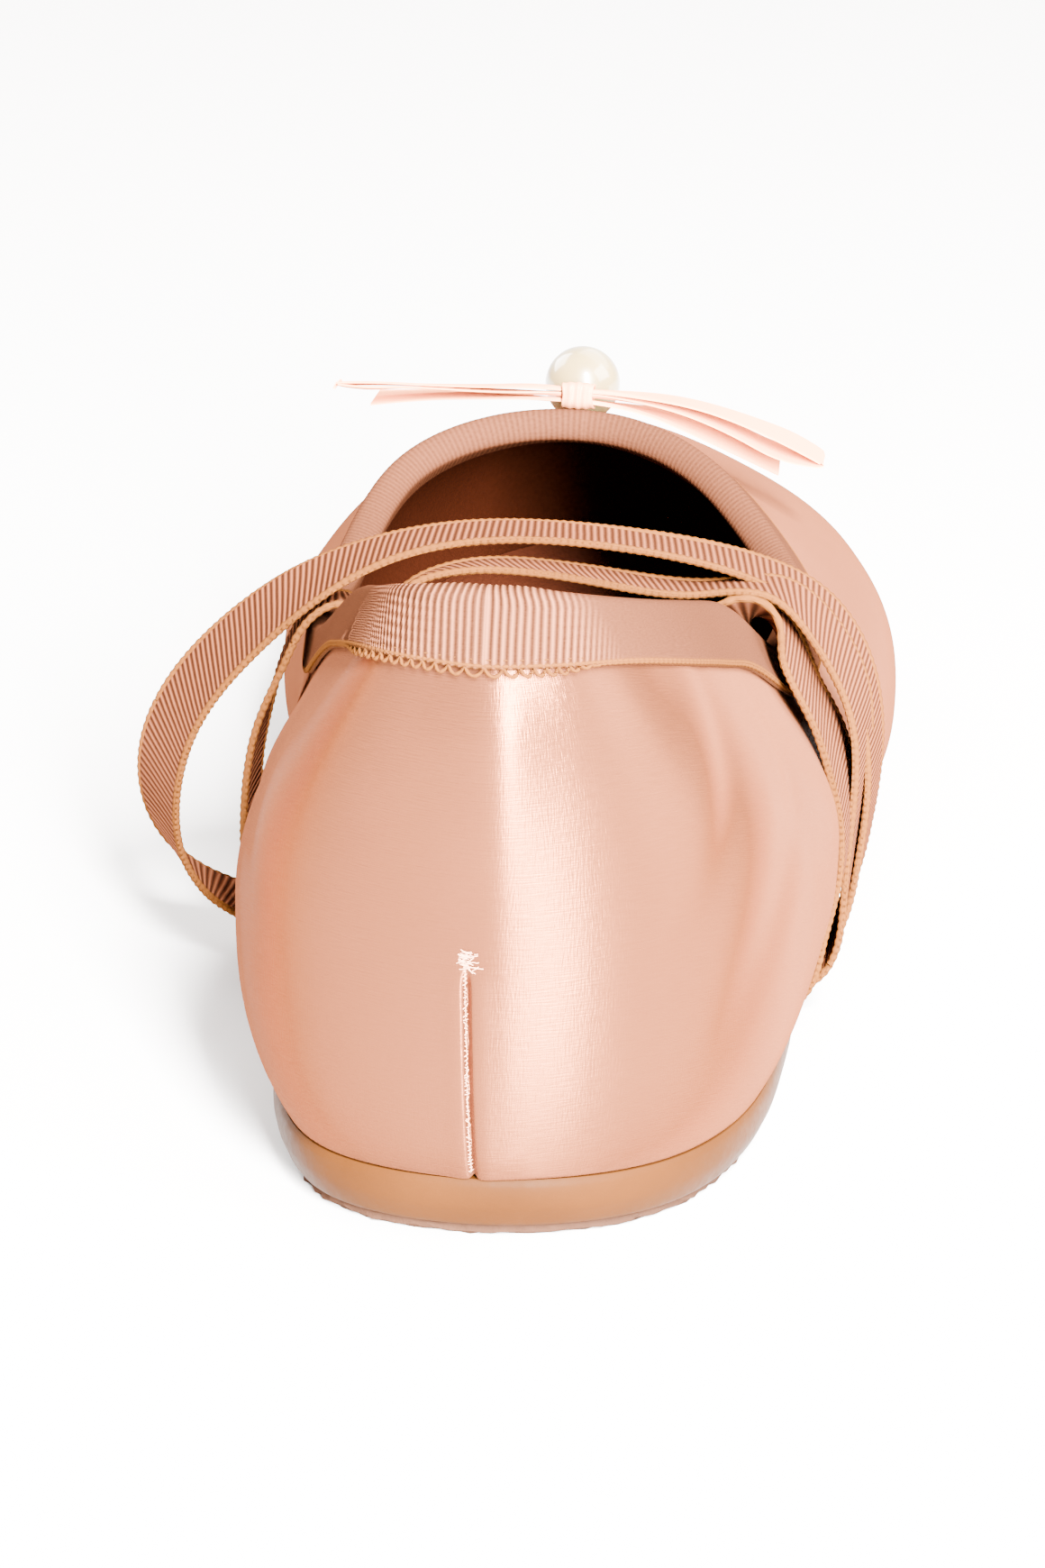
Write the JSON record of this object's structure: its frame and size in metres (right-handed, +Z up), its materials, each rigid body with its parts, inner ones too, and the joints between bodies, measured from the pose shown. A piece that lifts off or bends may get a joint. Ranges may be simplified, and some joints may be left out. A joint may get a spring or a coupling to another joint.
{
  "type": "satin ballet flat",
  "caption": "Right satin ballet flat with grosgrain topline binding, wound flat ankle ribbons, narrow throat bow with pearl bead, thin leather sole and low heel",
  "frame": {"origin": "on the floor plane, midway between the two sides, the heel and the toe of the shoe", "axes": "+Y towards the toe, +Z up, +X towards the outer side of the foot"},
  "size_m": [0.0934, 0.2452, 0.0725],
  "materials": {
    "satin": "blush satin, fine crosswise weave, soft sheen",
    "grosgrain": "ribbed grosgrain ribbon with tan scalloped edges",
    "sole_leather": "smooth nude leather, slightly glossy",
    "lift_leather": "raw worn leather, rough",
    "insole_cloth": "dark brown lining cloth, matt",
    "ribbon": "ribbed grosgrain ribbon with tan edges, soft sheen",
    "bow_satin": "narrow blush satin ribbon, soft sheen",
    "pearl": "ivory pearl coating, glossy"
  },
  "bodies": {
    "root": {"sole": "sole_leather", "heel_lift": "lift_leather", "insole": "insole_cloth", "upper": "satin", "topline_binding": "grosgrain", "ankle_ribbon_outer": "ribbon", "ankle_ribbon_inner": "ribbon", "bow_loops": "bow_satin", "bow_tails": "bow_satin", "bow_knot": "bow_satin", "pearl": "pearl"}
  },
  "joints": []
}
